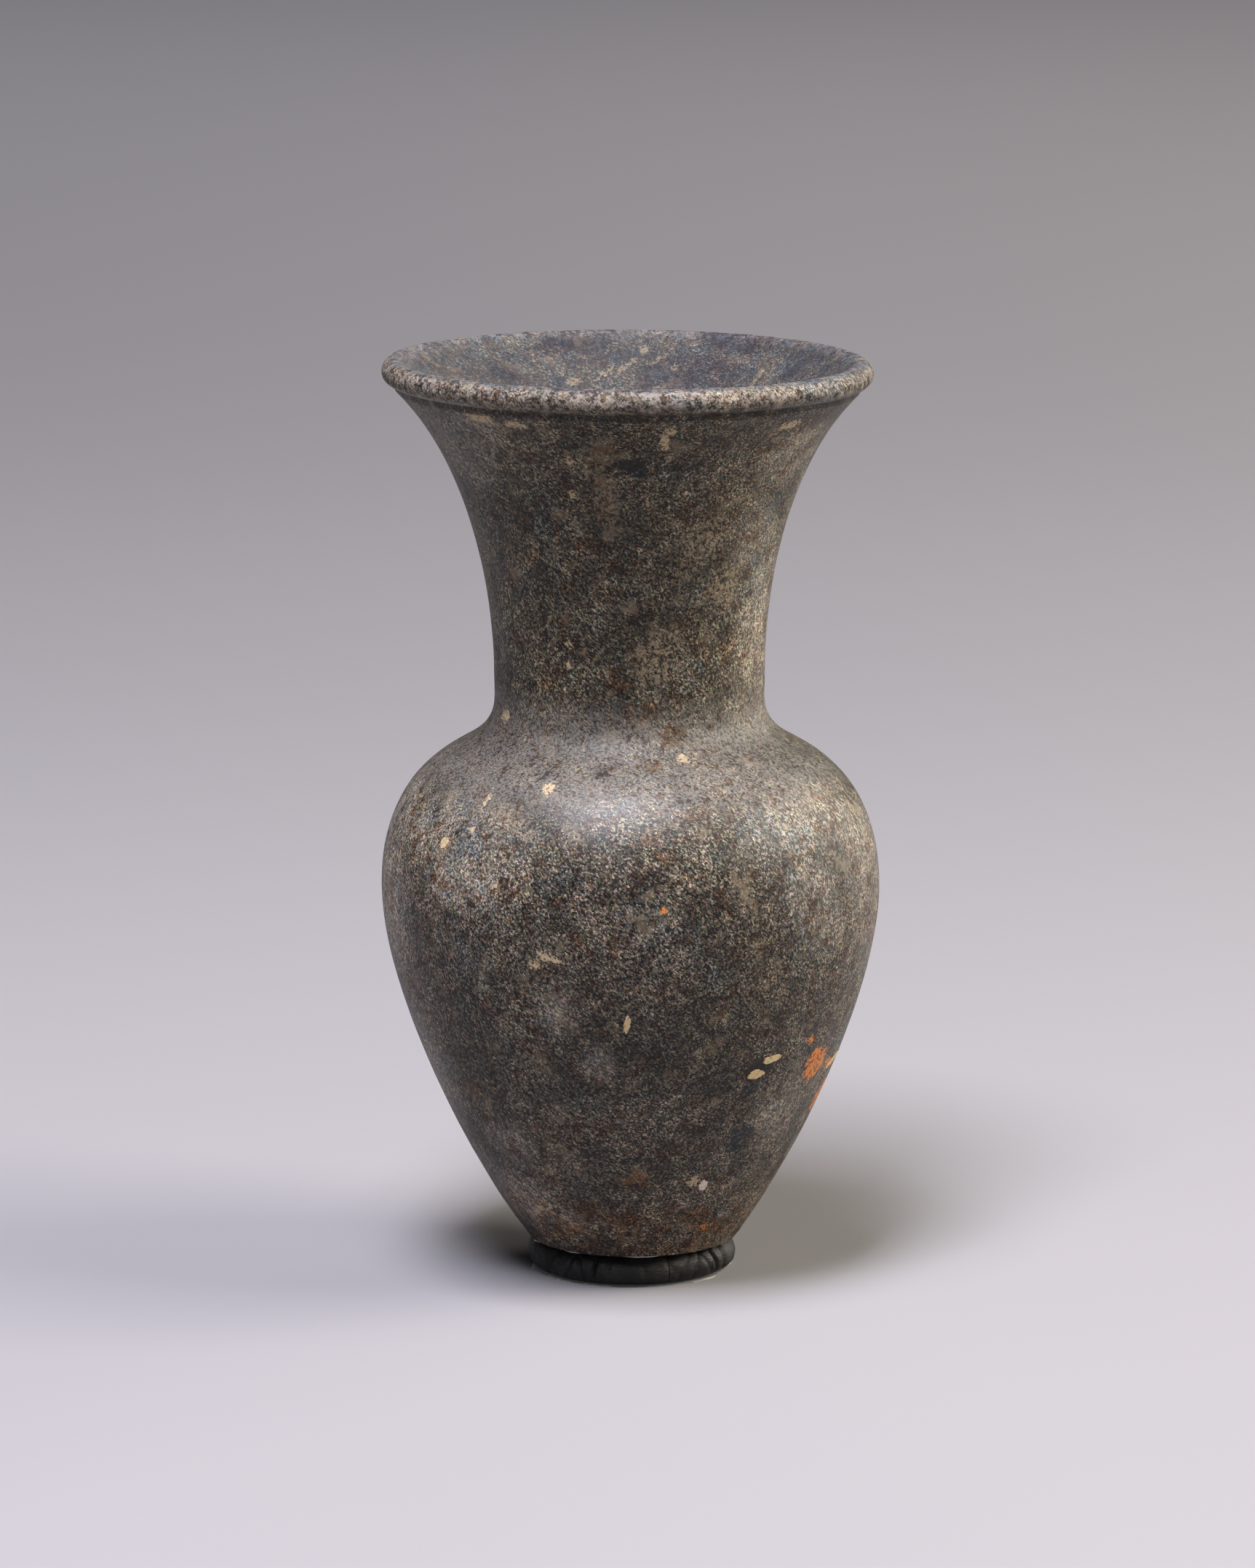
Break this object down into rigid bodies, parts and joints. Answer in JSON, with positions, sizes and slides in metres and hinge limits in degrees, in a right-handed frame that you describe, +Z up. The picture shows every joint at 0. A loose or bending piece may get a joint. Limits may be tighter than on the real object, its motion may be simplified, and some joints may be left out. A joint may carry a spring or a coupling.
{
  "type": "stone vase",
  "caption": "Small carved stone vase with a rolled lip, flared mouth, ovoid body and small flat foot, seated on a ring of black display wax.",
  "frame": {"origin": "on the surface that the wax ring stands on, below the vase's axis", "axes": "+Z up along the vase's axis, towards its mouth; -Y towards the pictured front, +X to the right of that view"},
  "size_m": [0.0784, 0.0784, 0.145],
  "materials": {
    "speckled_stone": "satin",
    "black_wax": "satin",
    "clear_film": "gloss"
  },
  "bodies": {
    "support": {"base_film": "clear_film", "support_ring_coil": "black_wax", "support_ring_closing_piece": "black_wax", "seat_film": "clear_film"},
    "vase": {"stone_vase": "speckled_stone"}
  },
  "joints": [
    {"name": "vase_lift", "type": "slide", "parent": "support", "child": "vase", "axis": [0, 0, 1], "range_m": [0, 0.04]}
  ]
}
